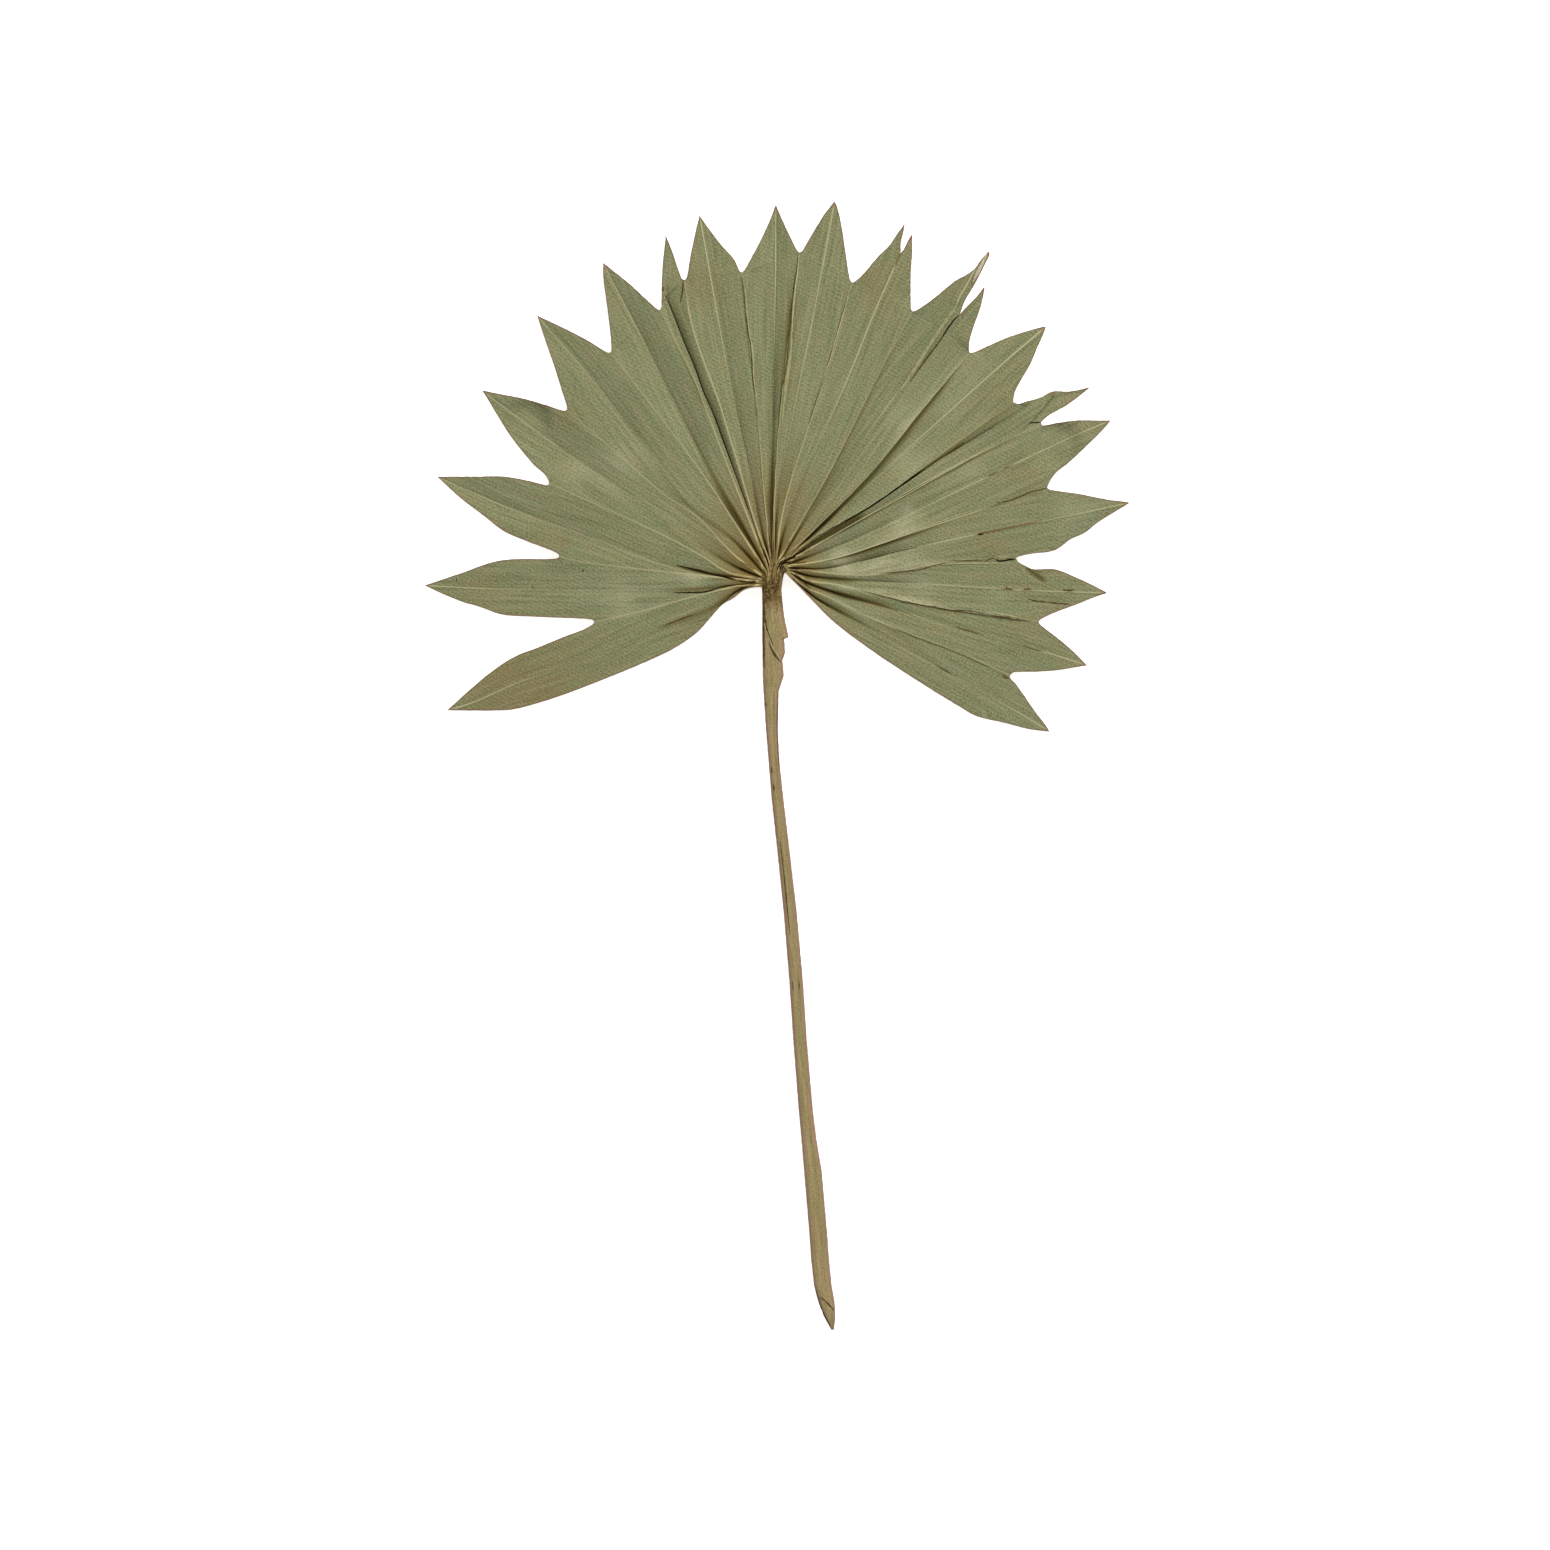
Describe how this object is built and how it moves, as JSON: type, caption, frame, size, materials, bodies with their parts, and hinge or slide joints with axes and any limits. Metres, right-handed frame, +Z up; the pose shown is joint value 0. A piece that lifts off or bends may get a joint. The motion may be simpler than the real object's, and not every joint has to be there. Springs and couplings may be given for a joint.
{
  "type": "dried palm leaf",
  "caption": "Dried fan palm leaf lying flat: a pleated fan-shaped blade with pointed, notched segments on a slim tapering stalk with an oblique cut end.",
  "frame": {"origin": "on the surface that the leaf lies on, under the middle of its outline", "axes": "+Y from the cut end of the stalk towards the tips of the fan, +X to the right of the fan seen from above, +Z up"},
  "size_m": [0.282, 0.451, 0.0104],
  "materials": {
    "dry_blade": "matte dry leaf with a fine grain along the segments",
    "dry_stalk": "satin dry fibrous stalk"
  },
  "bodies": {
    "root": {"leaf_blade": "dry_blade", "leaf_stalk": "dry_stalk"}
  },
  "joints": []
}
